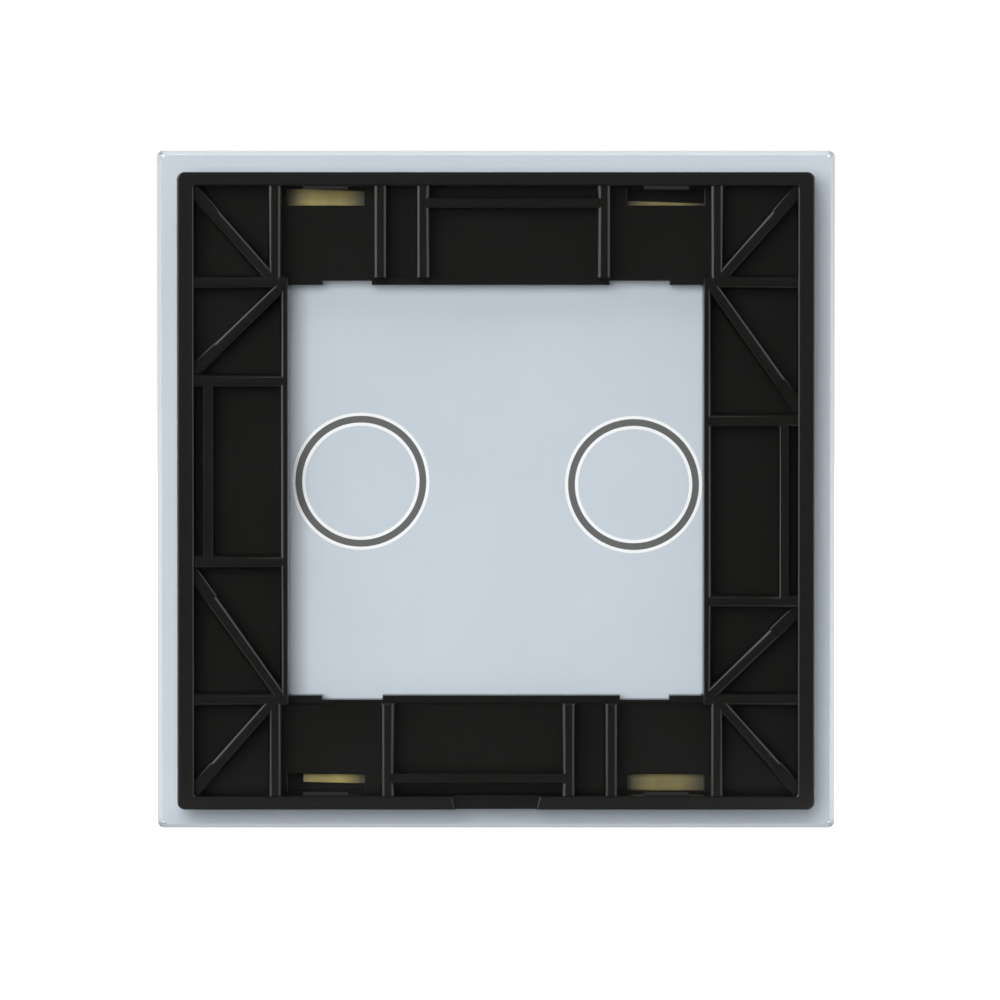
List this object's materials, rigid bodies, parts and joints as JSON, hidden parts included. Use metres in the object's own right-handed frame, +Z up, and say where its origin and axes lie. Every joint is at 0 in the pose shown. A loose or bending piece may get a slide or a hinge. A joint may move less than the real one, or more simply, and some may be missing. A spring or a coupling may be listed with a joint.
{
  "type": "touch light switch front panel",
  "caption": "Square glass front panel of a touch light switch, with printed touch rings, on a ribbed clip-on carrier frame.",
  "frame": {"origin": "centre of the glass, on the back of its colour coat, inside the window where the switch module's face seats", "axes": "-Y points out of the back, towards the wall, and +Y out of the touch face; +Z is up; +X is to the right in the rear view"},
  "size_m": [0.08, 0.0111, 0.08],
  "materials": {
    "glass": "polished float glass with a ground arris",
    "colour_coat": "satin pale blue-grey screen-printed enamel",
    "black_mask": "matt black screen print",
    "ring_ink": "satin dark grey translucent ink",
    "white_ink": "satin white ink",
    "adhesive": "amber acrylic adhesive with air bubbles",
    "frame_plastic": "semi-gloss black moulded plastic"
  },
  "bodies": {
    "root": {"glass_plate": "glass", "colour_coat": "colour_coat", "black_mask": "black_mask", "left_touch_ring": "ring_ink", "right_touch_ring": "ring_ink", "left_ring_outline": "white_ink", "right_ring_outline": "white_ink", "top_adhesive_strip": "adhesive", "bottom_adhesive_strip": "adhesive", "left_adhesive_strip": "adhesive", "right_adhesive_strip": "adhesive", "carrier_frame": "frame_plastic"}
  },
  "joints": []
}
